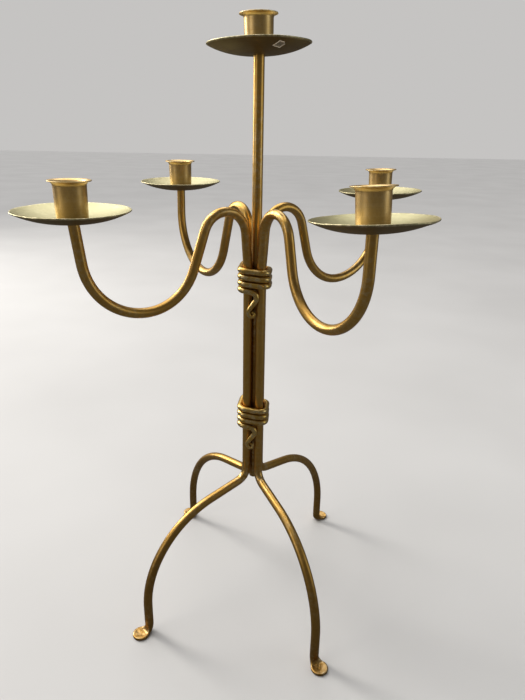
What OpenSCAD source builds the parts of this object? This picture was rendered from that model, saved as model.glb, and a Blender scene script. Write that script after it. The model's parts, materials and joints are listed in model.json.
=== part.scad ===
// Five-light candelabrum made from bent round brass rod, bound together with wire.
// Origin: on the floor under the centre rod. +Z up, -Y towards the front, millimetres.
// The four bent rods are numbered front left, front right, rear right, rear left.

/* [Rods] */
// Diameter of the four bent rods
rod_d = 9; // [8.5:0.1:10]
// Diameter of the centre rod
centre_d = 9.6; // [9:0.1:10]
// Gap between the rods where they stand side by side in the column
rod_gap = 0.1; // [0.05:0.05:0.3]
// Azimuth of each bent rod around the centre rod
column_az = [-146, -62, 54, 128]; // [-180:1:180]
// Height of the centre rod's lower end
centre_low_z = 139; // [120:1:150]

/* [Arms] */
// Azimuth in which each arm leaves the column
arm_az = [-145.2, -61.5, 37.7, 121.5]; // [-180:0.1:180]
// Distance in plan from each rod's upright stretch to its drip pan
arm_reach = [163, 159, 164, 158]; // [150:1:170]
// Height of each arm pan's rim
arm_rim_z = [437.5, 441.5, 437, 440.5]; // [430:0.5:450]
// Height at which the rods start to lean out of the column
flare_z = 368; // [360:1:375]
// Angle of that lean
flare = 5; // [3:1:8]
// Height of the arms' crests
crest_z = 427; // [420:0.5:435]
// Bend radius over each arm's crest
crest_r = [22.5, 23.5, 24, 20]; // [18:0.5:26]
// Steepness of the stretch that falls from each crest
fall = [70.5, 76, 74.5, 70.5]; // [68:0.5:78]
// Height of the arms' lowest points
dip_z = 345.5; // [335:0.5:355]
// Bend radius of the inner half of the dip
dip_r = 49; // [42:1:52]
// Outward lean of each arm's end, under its pan
end_lean = [6, 0.5, 0.5, -2]; // [-4:0.5:8]

/* [Legs] */
// Azimuth in which each leg leaves the column
leg_az = [-142, -62.5, 50.5, 126.5]; // [-180:0.5:180]
// Distance in plan from each rod's upright stretch to the foot's heel
leg_reach = 126.5; // [115:0.5:140]
// Height at which the rods start to bend out into legs
knee_z = 152.5; // [140:0.5:165]
// Bend radius of that first, tight bend
knee_r = 14; // [12:1:18]
// Slope of the leg's shoulder below level
shoulder = 12; // [8:1:16]
// Bend radius of the long sweep down to the foot
leg_r = 100; // [90:1:105]

/* [Feet] */
// Diameter of the hammered foot pad
foot_d = 17; // [14:0.5:20]
// Thickness of the pad
foot_t = 3.2; // [2.5:0.1:4]
// Distance from the leg's centre line to the pad's centre
foot_out = 10; // [8:0.5:12]
// Height at which the round rod starts to flatten
heel_h = 12; // [8:1:16]

/* [Pans] */
// Diameter of the drip pans
pan_d = 90; // [80:1:100]
// Inside depth of the pans
pan_depth = 9; // [7:0.5:11]
// Sheet thickness
pan_t = 1; // [0.8:0.1:1.5]
// Diameter of the flat seat pressed in the middle of each pan
seat_d = 19; // [18:0.5:22]
// Height of the top pan's rim
top_rim_z = 566; // [540:1:600]
// Lean of each arm's pan and cup about X
tilt_x = [0.5, -3.3, -0.2, 1]; // [-5:0.1:5]
// Lean of each arm's pan and cup about Y
tilt_y = [0.3, -2.8, -1.8, -0.2]; // [-5:0.1:5]
// Lean of the top pan and cup about Y
top_tilt_y = -1.7; // [-5:0.1:5]

/* [Candle cups] */
// Bore of the cups, for 22 mm candles
cup_bore_d = 22.5; // [22:0.1:23]
// Outside diameter at the foot of the cup
cup_foot_d = 24.1; // [24:0.1:25]
// Outside diameter below the lip
cup_neck_d = 25.3; // [25:0.1:26]
// Diameter of the lip
lip_d = 33; // [31:0.5:36]
// Height of the cup
cup_h = 30.5; // [28:0.5:34]
// Thickness of the lip's edge
lip_t = 0.9; // [0.8:0.1:1.5]
// Thickness of the cup's floor
cup_floor = 2.8; // [2.6:0.1:4]
// Rounding where the wall meets the floor outside
cup_foot_r = 2.5; // [1:0.5:3]

/* [Screws] */
// Outside diameter of the screw
screw_d = 4; // [3:0.5:5]
// Diameter of the countersunk head
screw_head_d = 8; // [7:0.5:9]
// Length of the screw under the face of its head
screw_len = 12; // [10:1:16]
// Clearance around the screw
screw_gap = 0.1; // [0.05:0.05:0.3]
// Depth of the head's face below the cup's floor
screw_sink = 0.15; // [0.1:0.05:0.3]

/* [Bindings] */
// Diameter of the binding wire
wire_d = 5.8; // [4.5:0.1:6]
// Height that the wire drops in each turn
wire_pitch = 6.4; // [6:0.1:7.5]
// Height of the upper binding's first turn at the column's left side
upper_z = 372; // [365:0.5:380]
// Height of the lower binding's first turn at the column's left side
lower_z = 226.5; // [200:0.5:260]
// Extra height of the wire's cut end behind the column
wire_rise = 5; // [0:0.5:6]
// Diameter of the wire at the tip of its tail
tip_d = 2.4; // [1.5:0.1:3]

/* [Label] */
// Side of the blank square label under the top pan
label_w = 8.5; // [6:0.5:12]
// Distance of the label's centre from the pan's axis
label_out = 35; // [28:0.5:36]
// Azimuth of the label
label_az = -62; // [-180:1:180]

/* [Hidden] */
$fn = 96;

rod_r = rod_d / 2;
wire_r = wire_d / 2;
centre_r = centre_d / 2;
column_r = rod_r + centre_r + rod_gap;   // centre rod's middle to the middle of a bent rod
pan_h = pan_t + pan_depth;       // seat's underside to the rim
screw_r = screw_d / 2;
thin = 0.01;                     // overrun of a cutting shape past the face that it opens
TOP = 4;                         // number of the top light, after the four arms

// How a rod's straight and bent stretches are joined into one solid.
short_by = 0.1;
collar_w = 0.6;
collar_proud = 0.02;
heel_proud = 0.05;               // the same for the many-sided top of the foot

rod_colour = [0.69, 0.52, 0.27];
pan_colour = [0.80, 0.72, 0.46];
cup_colour = [0.76, 0.60, 0.34];
screw_colour = [0.62, 0.50, 0.28];
wire_colour = [0.74, 0.58, 0.30];
label_colour = [0.45, 0.42, 0.36];

// ---- Places ----------------------------------------------------------------------------

function on_circle(r, az) = [r * cos(az), r * sin(az), 0];

// Middle of a bent rod in the column, in plan.
function column_at(i) = on_circle(column_r, column_az[i]);

// Underside of a light's pan: the end of its rod.
function seat(i) = i == TOP
    ? [0, 0, top_rim_z - pan_h]
    : column_at(i) + on_circle(arm_reach[i], arm_az[i]) + [0, 0, arm_rim_z[i] - pan_h];

function tilt(i) = i == TOP ? [0, top_tilt_y, 0] : [tilt_x[i], tilt_y[i], 0];

// A light's own frame: origin in the middle of the pan's underside, +Z up through the cup.
module at_light(i) translate(seat(i)) rotate(tilt(i)) children();

// ---- Bent rods -------------------------------------------------------------------------

// A bend stops short of its two ends by short_by, where collars join it to its neighbours.
module left_bend(turn, radius) {
    short_turn = asin(short_by / radius);
    translate([0, radius, 0])
        rotate([0, 0, short_turn - 90])
            rotate_extrude(angle = turn - 2 * short_turn)
                translate([radius, 0])
                    circle(r = rod_r);
}

// A bend that starts at the origin along +X and turns towards +Y, or towards -Y if negative.
module bend(turn, radius) {
    if (turn > 0) left_bend(turn, radius);
    if (turn < 0) mirror([0, 1, 0]) left_bend(-turn, radius);
}

// A straight stretch from the origin along +X, short at both ends too.
module stretch(length) translate([short_by, 0, 0])
    rotate([0, 90, 0]) cylinder(r = rod_r, h = length - 2 * short_by);

// A collar at the origin, a hair thicker than the rod, that makes two neighbours one solid.
module collar() rotate([0, 90, 0]) cylinder(r = rod_r + collar_proud, h = collar_w, center = true);

// Rod that starts along +X and follows steps of [straight length, turn, bend radius].
module bent_rod(steps, k = 0) {
    if (k < len(steps)) {
        length = steps[k][0];
        turn = steps[k][1];
        radius = steps[k][2];
        collar();
        if (length > 0) stretch(length);
        if (turn != 0) translate([length, 0, 0]) {
            if (length > 0) collar();
            bend(turn, radius);
            translate([radius * sin(abs(turn)), sign(turn) * radius * (1 - cos(turn)), 0])
                rotate([0, 0, turn])
                    bent_rod(steps, k + 1);
        }
    }
}

// The arm's stretches that close on the heights asked for.
flare_r = 60;

function lean_len(i) =
    (crest_z - flare_z - flare_r * sin(flare) - crest_r[i] * (1 - sin(flare))) / cos(flare);

function fall_len(i) =
    (crest_z - dip_z - (crest_r[i] + dip_r) * (1 - cos(fall[i]))) / sin(fall[i]);

// Distance in plan from a rod's upright stretch to the lowest point of its arm.
function dip_mid(i) =
    let (
        crest_in = flare_r * (1 - cos(flare)) + lean_len(i) * sin(flare),
        crest_out = crest_r[i] * (cos(flare) + sin(fall[i])),
        dip_in = dip_r * sin(fall[i])
    )
    crest_in + crest_out + fall_len(i) * cos(fall[i]) + dip_in;

// Arm i rises from the knee; the outer half of its dip and its end take up reach and height.
function arm_steps(i) =
    let (
        lean = end_lean[i],
        across = arm_reach[i] - dip_mid(i),
        rise = seat(i)[2] - dip_z,
        outer_r = (across * cos(lean) - rise * sin(lean)) / (1 - sin(lean)),
        end_len = (rise - outer_r * (1 - sin(lean))) / cos(lean)
    )
    [
        [flare_z - knee_z, -flare, flare_r],
        [lean_len(i), flare - 90 - fall[i], crest_r[i]],
        [fall_len(i), fall[i], dip_r],
        [0, 90 - lean, outer_r],
        [end_len + rod_r, 0, 0]
    ];

// The leg's shoulder takes up the reach, and its straight end takes up the height.
knee_turn = 90 - shoulder;
shoulder_len = (leg_reach - knee_r * (1 - cos(knee_turn)) - leg_r * (1 - sin(shoulder)))
    / cos(shoulder);
sweep_drop = knee_r * sin(knee_turn) + shoulder_len * sin(shoulder) + leg_r * cos(shoulder);
leg_steps = [
    [0, knee_turn, knee_r],
    [shoulder_len, -knee_turn, leg_r],
    [knee_z - sweep_drop - heel_h, 0, 0]
];

// The rod's end, flattened and turned out into a pad that lies on the floor.
module foot() {
    heel_in = 1;
    neck_out = foot_out - 3;
    hull() {
        translate([0, 0, heel_h]) cylinder(r = rod_r + heel_proud, h = collar_w, $fn = 32);
        translate([heel_in, 0, 0]) cylinder(r = rod_r - heel_in, h = foot_t, $fn = 32);
        translate([neck_out, 0, 0]) cylinder(r = rod_r, h = foot_t, $fn = 32);
    }
    translate([foot_out, 0, 0]) cylinder(d = foot_d, h = foot_t);
}

// What the end of a rod loses in its light's frame: all above the seat, and the tapped hole.
module seat_cut() {
    cut_w = 3 * rod_d;
    hole_deep = screw_len;
    translate([-cut_w / 2, -cut_w / 2, 0]) cube(cut_w);
    translate([0, 0, -hole_deep]) cylinder(r = screw_r + screw_gap / 2, h = hole_deep + thin);
}

// One whole rod: foot, leg, upright stretch in the column, and arm.
module rod(i) color(rod_colour) difference() {
    translate(column_at(i)) {
        translate([0, 0, knee_z]) {
            rotate([90, 0, arm_az[i]]) rotate([0, 0, 90]) bent_rod(arm_steps(i));
            rotate([90, 0, leg_az[i]]) rotate([0, 0, -90]) bent_rod(leg_steps);
        }
        translate(on_circle(leg_reach, leg_az[i])) rotate([0, 0, leg_az[i]]) foot();
    }
    at_light(i) seat_cut();
}

module rod_front_left() rod(0);
module rod_front_right() rod(1);
module rod_rear_right() rod(2);
module rod_rear_left() rod(3);

module centre_rod() color(rod_colour) difference() {
    translate([0, 0, centre_low_z])
        cylinder(r = centre_r, h = seat(TOP)[2] + centre_r - centre_low_z);
    at_light(TOP) seat_cut();
}

// ---- Drip pans -------------------------------------------------------------------------

seat_r = seat_d / 2;
pan_r = pan_d / 2;
dish_run = pan_r - seat_r;
dish_r = (dish_run ^ 2 + pan_depth ^ 2) / (2 * pan_depth);   // radius of the dish inside

// Height of a dish surface above its flat seat, for a section radius r_arc.
function dish_rise(r, r_arc) = r_arc - sqrt(r_arc ^ 2 - (r - seat_r) ^ 2);

// Section of a dish surface from the seat to radius r_end, lifted by z.
dish_steps = 14;
function dish_curve(r_arc, r_start, r_end, z) = [
    for (k = [0:dish_steps])
        let (r = r_start + (r_end - r_start) * k / dish_steps) [r, z + dish_rise(r, r_arc)]
];

function reversed(list) = [for (k = [len(list) - 1:-1:0]) list[k]];

module pan(i) color(pan_colour) at_light(i) difference() {
    rotate_extrude() polygon(concat(
        [[0, 0]],
        dish_curve(dish_r + pan_t, seat_r, pan_r, 0),
        reversed(dish_curve(dish_r, seat_r, pan_r, pan_t)),
        [[0, pan_t]]
    ));
    translate([0, 0, -thin]) cylinder(r = screw_r + screw_gap, h = pan_t + 2 * thin);
}

module pan_front_left() pan(0);
module pan_front_right() pan(1);
module pan_rear_right() pan(2);
module pan_rear_left() pan(3);
module pan_top() pan(TOP);

// ---- Candle cups -----------------------------------------------------------------------

cup_bore_r = cup_bore_d / 2;
cup_neck_r = cup_neck_d / 2;
cup_foot_or = cup_foot_d / 2;
lip_r = lip_d / 2;
flare_in_r = lip_r - cup_bore_r;       // rounding inside the mouth
flare_out_r = lip_r - cup_neck_r;      // rounding under the lip

function arc(cx, cz, r, a0, a1, n = 10) = [
    for (k = [0:n]) let (a = a0 + (a1 - a0) * k / n) [cx + r * cos(a), cz + r * sin(a)]
];

cup_section = concat(
    [[0, 0]],
    arc(cup_foot_or - cup_foot_r, cup_foot_r, cup_foot_r, -90, 0),
    arc(lip_r, cup_h - lip_t - flare_out_r, flare_out_r, 180, 90),
    arc(lip_r, cup_h - flare_in_r, flare_in_r, 90, 180),
    [[cup_bore_r, cup_floor], [0, cup_floor]]
);

module cup(i) color(cup_colour) at_light(i) translate([0, 0, pan_t]) difference() {
    rotate_extrude() polygon(cup_section);
    countersink();
}

module cup_front_left() cup(0);
module cup_front_right() cup(1);
module cup_rear_right() cup(2);
module cup_rear_left() cup(3);
module cup_top() cup(TOP);

// ---- Screws ----------------------------------------------------------------------------

slot_w = 1.2;
slot_deep = 1;

// Height of the face of the screw's head over the foot of the cup.
head_face_z = cup_floor - screw_sink;

// Countersunk screw's body over the foot of the cup, grown by gap all round.
module countersunk(gap) {
    head_r = screw_head_d / 2;
    cone_h = head_r - screw_r;
    translate([0, 0, head_face_z - cone_h])
        cylinder(r1 = screw_r + gap, r2 = head_r + gap, h = cone_h);
    translate([0, 0, head_face_z - screw_len])
        cylinder(r = screw_r + gap, h = screw_len - cone_h + thin);
}

// What the cup loses to the screw: the countersink, open to the top of the cup's floor.
module countersink() {
    countersunk(screw_gap);
    translate([0, 0, head_face_z - thin])
        cylinder(r = screw_head_d / 2 + screw_gap, h = screw_sink + 2 * thin);
}

module screw(i) color(screw_colour) at_light(i) translate([0, 0, pan_t]) difference() {
    countersunk(0);
    translate([-screw_head_d, -slot_w / 2, head_face_z - slot_deep])
        cube([2 * screw_head_d, slot_w, slot_deep + thin]);
}

module screw_front_left() screw(0);
module screw_front_right() screw(1);
module screw_rear_right() screw(2);
module screw_rear_left() screw(3);
module screw_top() screw(TOP);

// ---- Wire bindings ---------------------------------------------------------------------

// The wire hugs the four bent rods: round each rod in turn, and straight between them.
// It winds down anticlockwise, seen from above, and ends in a tail across the front.

wire_off = rod_r + wire_r + rod_gap;   // rod's middle to wire's middle
RODS = 4;
REAR_LEFT = 3;                         // rod at the coil's first corner
last_corner = 13;
corner_steps = 4;
tail_steps = 5;
wire_sides = 10;
LEFT = 180;                            // azimuth of the column's left side
cut_end = -110;                        // azimuth swept from there to the wire's cut end

// Azimuth of the outward normal of the span from bent rod i to the next one.
function span_normal(i) =
    let (d = column_at((i + 1) % RODS) - column_at(i)) atan2(d[1], d[0]) - 90;

// Angle a brought into the half-open turn that starts at from.
function wrapped(a, from) = a - 360 * floor((a - from) / 360);

// Azimuth swept at place p of corner m, counted from the column's left side.
function swept(m, p) =
    let (corner_from = (60 + m * 360 / RODS))
    wrapped(atan2(p[1], p[0]), corner_from) - LEFT;

// Stations of the coil: [place, outward normal's azimuth, azimuth swept], corner by corner.
coil_plan = [
    for (m = [0:last_corner], k = [0:corner_steps])
        let (
            i = (REAR_LEFT + m) % RODS,
            a_in = span_normal((i + RODS - 1) % RODS),
            a_out = wrapped(span_normal(i), a_in),
            a = a_in + (a_out - a_in) * k / corner_steps,
            p = column_at(i) + on_circle(wire_off, a)
        ) [p, a, swept(m, p)]
];

// The cut end, where the span that leads to the first corner leaves the rod before it.
start_normal = span_normal(REAR_LEFT - 1);
coil_start = [column_at(REAR_LEFT - 1) + on_circle(wire_off, start_normal), start_normal, cut_end];

// Drop below the first pass of the left side, with the raised cut end behind the column.
function coil_z(angle) =
    -wire_pitch * angle / 360 + wire_rise * max(0, angle / cut_end) ^ 2;

// The tail lies flat against the two front rods, in their common tangent plane.
// It follows steps of [straight length, turn, bend radius], as the rods do.
tail_plan = [[6, -115, 5.5], [11, 70, 5], [1, 235, 2.4]];
tail_head = -10;
tail_normal = span_normal(0);
tail_axis = tail_normal + 90;

// Places along one step, as [along, up, heading], from the place where it starts.
function step_places(step, from) =
    let (
        heading = from[2],
        side = sign(step[1]),
        corner = [from[0] + step[0] * cos(heading), from[1] + step[0] * sin(heading)],
        mid = [corner[0] - side * step[2] * sin(heading), corner[1] + side * step[2] * cos(heading)]
    )
    [
        for (k = [0:tail_steps])
            let (h = heading + step[1] * k / tail_steps)
            [mid[0] + side * step[2] * sin(h), mid[1] - side * step[2] * cos(h), h]
    ];

function tail_places(k = 0, from = [0, 0, tail_head]) =
    k == len(tail_plan) ? [] :
    let (places = step_places(tail_plan[k], from))
    concat(places, tail_places(k + 1, places[tail_steps]));

// A wire's whole run as stations of [place, outward normal, wire radius].
function wire_run(z) =
    let (
        coil = [
            for (s = concat([coil_start], coil_plan))
                [s[0] + [0, 0, z + coil_z(s[2])], on_circle(1, s[1]), wire_r]
        ],
        root = coil[len(coil) - 1][0],
        places = tail_places(),
        last = len(places) - 1,
        tail = [
            for (k = [0:last])
                let (
                    r = wire_r + (tip_d / 2 - wire_r) * (k / last) ^ 2,
                    inward = on_circle(r - wire_r, tail_normal)
                ) [
                    root + on_circle(places[k][0], tail_axis) + [0, 0, places[k][1]] + inward,
                    on_circle(1, tail_normal),
                    r
                ]
        ]
    )
    concat(coil, tail);

function unit(v) = v / norm(v);

// A ring of points around station k of a run, square to the run there.
function ring(run, k) =
    let (
        ahead = run[min(k + 1, len(run) - 1)][0],
        behind = run[max(k - 1, 0)][0],
        along = unit(ahead - behind),
        across = unit(cross(along, run[k][1])),
        out = cross(across, along)
    )
    [
        for (s = [0:wire_sides - 1])
            let (a = 360 * s / wire_sides)
            run[k][0] + run[k][2] * (cos(a) * out + sin(a) * across)
    ];

module swept_wire(run) {
    count = len(run);
    points = [for (k = [0:count - 1]) each ring(run, k)];
    walls = [
        for (k = [0:count - 2], s = [0:wire_sides - 1])
            let (a = k * wire_sides + s, b = k * wire_sides + (s + 1) % wire_sides)
            each [[a, a + wire_sides, b], [b, a + wire_sides, b + wire_sides]]
    ];
    near_cap = [for (s = [0:wire_sides - 1]) s];
    far_cap = [for (s = [wire_sides - 1:-1:0]) (count - 1) * wire_sides + s];
    polyhedron(points, concat([near_cap], walls, [far_cap]));
}

module upper_binding() color(wire_colour) swept_wire(wire_run(upper_z));
module lower_binding() color(wire_colour) swept_wire(wire_run(lower_z));

// ---- Label -----------------------------------------------------------------------------

label_t = 0.2;
label_gap = 0.05;

// Blank square of paper that follows the dish under the top pan, one corner to the front.
module pan_label() color(label_colour) at_light(TOP) intersection() {
    rotate_extrude() polygon(concat(
        dish_curve(dish_r + pan_t, seat_r, pan_r, -label_gap - label_t),
        reversed(dish_curve(dish_r + pan_t, seat_r, pan_r, -label_gap))
    ));
    translate(on_circle(label_out, label_az))
        rotate([0, 0, 45])
            translate([-label_w / 2, -label_w / 2, -pan_h])
                cube([label_w, label_w, 2 * pan_h]);
}

rod_front_left();
rod_front_right();
rod_rear_right();
rod_rear_left();
centre_rod();
pan_front_left();
pan_front_right();
pan_rear_right();
pan_rear_left();
pan_top();
cup_front_left();
cup_front_right();
cup_rear_right();
cup_rear_left();
cup_top();
screw_front_left();
screw_front_right();
screw_rear_right();
screw_rear_left();
screw_top();
upper_binding();
lower_binding();
pan_label();
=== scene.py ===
"""Looks of the wire-bound brass candelabrum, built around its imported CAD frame.

Metres, +Z up, -Y towards the front. Every piece is a mesh made here in the place of its CAD node.
"""

import json
import math
import random

import bmesh
import bpy
import numpy as np
from mathutils import Matrix, Vector


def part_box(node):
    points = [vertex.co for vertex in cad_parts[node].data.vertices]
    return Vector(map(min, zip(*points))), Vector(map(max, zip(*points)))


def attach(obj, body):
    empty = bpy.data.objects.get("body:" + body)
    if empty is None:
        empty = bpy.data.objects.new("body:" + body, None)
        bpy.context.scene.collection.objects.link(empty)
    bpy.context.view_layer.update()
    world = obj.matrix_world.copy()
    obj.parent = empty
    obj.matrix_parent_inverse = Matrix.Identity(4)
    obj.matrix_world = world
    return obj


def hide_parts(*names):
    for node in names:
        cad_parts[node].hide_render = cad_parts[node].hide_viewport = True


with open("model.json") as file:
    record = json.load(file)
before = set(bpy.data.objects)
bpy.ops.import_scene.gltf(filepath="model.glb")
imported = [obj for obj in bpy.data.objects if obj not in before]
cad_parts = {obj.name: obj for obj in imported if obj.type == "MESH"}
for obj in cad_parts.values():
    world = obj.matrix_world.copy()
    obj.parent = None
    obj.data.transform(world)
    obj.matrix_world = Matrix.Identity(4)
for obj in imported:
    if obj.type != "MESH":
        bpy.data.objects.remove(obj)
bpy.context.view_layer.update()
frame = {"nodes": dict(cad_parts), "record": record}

MM = 0.001
UP = np.array([0.0, 0.0, 1.0])

# ---- Sizes, the same as the CAD part's ---------------------------------------------------

ROD_R = 4.5 * MM             # the four bent rods
CENTRE_R = 4.8 * MM          # the centre rod
KNEE_Z = 152.5 * MM          # where the rods start to bend out into legs
FLARE_Z = 368 * MM           # where they start to lean out into arms
FLARE = 5                    # degrees of that lean
FLARE_R = 60 * MM
CREST_Z = 427 * MM
DIP_Z = 345.5 * MM
DIP_R = 49 * MM              # inner half of the dip; the outer half takes up the reach
# Each arm's own bend radius over its crest, the degrees of the stretch that falls from there,
# and the degrees by which its end leans outwards under the pan.
ARM_BENDS = {
    "front_left": (22.5 * MM, 70.5, 6),
    "front_right": (23.5 * MM, 76, 0.5),
    "rear_right": (24 * MM, 74.5, 0.5),
    "rear_left": (20 * MM, 70.5, -2),
}
KNEE_R = 14 * MM
SHOULDER = 12                # degrees of the leg's shoulder below level
LEG_R = 100 * MM

HEEL_H = 12 * MM             # where the round rod starts to flatten into a foot
FOOT_OUT = 10 * MM           # from the leg's centre line to the middle of the pad
FOOT_R = 8.5 * MM
FOOT_T = 3.2 * MM

CANDLE_MID = 15.025 * MM     # from the pan's underside up to the candle mount
PAN_R = 45 * MM
PAN_T = 1 * MM
PAN_DEPTH = 9 * MM
PAN_SEAT_R = 9.5 * MM

CUP_BORE_R = 11.25 * MM
CUP_FOOT_R = 12.05 * MM
CUP_NECK_R = 12.65 * MM
LIP_R = 16.5 * MM
LIP_T = 0.9 * MM
CUP_H = 30.5 * MM
CUP_FLOOR = 2.8 * MM
CUP_FOOT_ROUND = 2.5 * MM

SCREW_R = 2 * MM
SCREW_HEAD_R = 4 * MM
SCREW_LEN = 12 * MM
SCREW_GAP = 0.1 * MM
SCREW_SINK = 0.15 * MM

WIRE_R = 2.9 * MM
WIRE_PITCH = 6.4 * MM
WIRE_RISE = 5 * MM           # extra height of the cut end behind the column
WIRE_GAP = 0.1 * MM
UPPER_Z = 372 * MM
LOWER_Z = 226.5 * MM
TIP_R = 1.2 * MM

LABEL_W = 8.5 * MM
LABEL_OUT = 35 * MM
LABEL_AZ = -62               # degrees, around the top pan

CORNERS = ["front_left", "front_right", "rear_right", "rear_left"]
LIGHTS = CORNERS + ["top"]

# ---- Places, from the frame --------------------------------------------------------------

mounts = {m["name"]: m for m in frame["record"]["mounts"]}


def direction(azimuth):
    """Level unit vector at an azimuth in radians."""
    return np.array([math.cos(azimuth), math.sin(azimuth), 0.0])


def upright_axis(corner):
    """Middle of a bent rod in the column, in plan: from the ring where its upright stretch starts."""
    co = np.array([v.co for v in frame["nodes"]["rod_" + corner].data.vertices])
    ring = co[abs(co[:, 2] - KNEE_Z - 0.3 * MM) < 0.05 * MM]
    middle = (ring.min(0) + ring.max(0)) / 2
    return np.array([middle[0], middle[1], 0.0])


def light_axis(light):
    return np.array(mounts["candle_" + light]["axis"], float)


def seat(light):
    """Middle of the underside of a light's pan."""
    return np.array(mounts["candle_" + light]["pos_m"]) - CANDLE_MID * light_axis(light)


def light_matrix(light):
    """A light's own frame: origin in the middle of the pan's underside, Z up through the cup."""
    z = Vector(light_axis(light)).normalized()
    x = (Vector((1, 0, 0)) - z * z.x).normalized()
    matrix = Matrix((x, z.cross(x), z)).transposed().to_4x4()
    matrix.translation = Vector(seat(light))
    return matrix


axes = {corner: upright_axis(corner) for corner in CORNERS}


def plan_of(corner, place):
    """(azimuth, distance) in plan from a rod's upright stretch to a place."""
    d = np.asarray(place) - axes[corner]
    return math.atan2(d[1], d[0]), math.hypot(d[0], d[1])


# ---- Meshes ------------------------------------------------------------------------------


def new_object(name, verts, faces, attributes=None):
    """A smooth mesh object at the origin, with float or vector attributes on its points."""
    mesh = bpy.data.meshes.new(name)
    mesh.from_pydata(np.asarray(verts).tolist(), [], faces)
    bm = bmesh.new()
    bm.from_mesh(mesh)
    bmesh.ops.recalc_face_normals(bm, faces=bm.faces)
    bm.to_mesh(mesh)
    bm.free()
    for key, values in (attributes or {}).items():
        values = np.asarray(values, np.float32)
        vector = values.ndim == 2
        layer = mesh.attributes.new(key, "FLOAT_VECTOR" if vector else "FLOAT", "POINT")
        layer.data.foreach_set("vector" if vector else "value", values.ravel())
    mesh.shade_smooth()
    mesh.set_sharp_from_angle(angle=math.radians(50))
    obj = bpy.data.objects.new(name, mesh)
    bpy.context.scene.collection.objects.link(obj)
    return obj


def loft(name, rings, closed=False, attributes=None):
    """Mesh of quads from ring to ring. The ends are capped, or joined to each other if closed."""
    rings = np.asarray(rings, float)
    count, sides = rings.shape[:2]
    faces = []
    for k in range(count if closed else count - 1):
        here, there = k * sides, (k + 1) % count * sides
        for s in range(sides):
            t = (s + 1) % sides
            faces.append((here + s, here + t, there + t, there + s))
    verts = rings.reshape(-1, 3)
    data = {key: np.asarray(v, float) for key, v in (attributes or {}).items()}
    data = {key: v.reshape((count * sides,) + v.shape[2:]) for key, v in data.items()}
    if not closed:
        for ring in (0, count - 1):
            span = slice(ring * sides, (ring + 1) * sides)
            middle = len(verts)
            verts = np.vstack([verts, verts[span].mean(0)])
            data = {key: np.concatenate([v, v[span].mean(0)[None]]) for key, v in data.items()}
            faces += [(span.start + s, span.start + (s + 1) % sides, middle) for s in range(sides)]
    return new_object(name, verts, faces, data)


def fillet(corners, closed=False, steps=5):
    """Line through corners of (x, y, rounding radius), rounded with arcs."""
    corners = [np.array(c, float) for c in corners]
    count = len(corners)
    line = []
    for k, corner in enumerate(corners):
        p, r = corner[:2], corner[2]
        if r <= 0 or (not closed and k in (0, count - 1)):
            line.append(p)
            continue
        a = corners[k - 1][:2] - p
        b = corners[(k + 1) % count][:2] - p
        a, b = a / np.linalg.norm(a), b / np.linalg.norm(b)
        half = math.acos(np.clip(a @ b, -1, 1)) / 2
        middle = p + (a + b) / np.linalg.norm(a + b) * r / math.sin(half)
        start = p + a * r / math.tan(half) - middle
        end = p + b * r / math.tan(half) - middle
        turn = math.atan2(start[0] * end[1] - start[1] * end[0], start @ end)
        for q in range(steps + 1):
            c, s = math.cos(turn * q / steps), math.sin(turn * q / steps)
            line.append(middle + np.array([c * start[0] - s * start[1], s * start[0] + c * start[1]]))
    return np.array(line)


def lathe(name, profile, segments, matrix, shape=None, attributes=None):
    """Turned piece from a closed profile of (radius, height). shape(points) may move its points."""
    turns = np.linspace(0, 2 * math.pi, segments, endpoint=False)
    r, z = profile[:, 0, None], profile[:, 1, None]
    rings = np.stack([r * np.cos(turns), r * np.sin(turns), z + 0 * turns], axis=2)
    data = attributes(rings) if attributes else {}
    if shape:
        rings = shape(rings)
    data["local"] = rings.copy()
    m = np.array(matrix)
    return loft(name, rings @ m[:3, :3].T + m[:3, 3], closed=True, attributes=data)


def smoothstep(low, high, x):
    t = np.clip((np.asarray(x, float) - low) / (high - low), 0, 1)
    return t * t * (3 - 2 * t)


def finish_piece(obj, node, material):
    """The piece stands for its CAD node, rides with the frame and takes its material."""
    obj.data.materials.clear()
    obj.data.materials.append(material)
    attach(obj, "root")
    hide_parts(node)
    return obj


# ---- Materials ---------------------------------------------------------------------------


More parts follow.
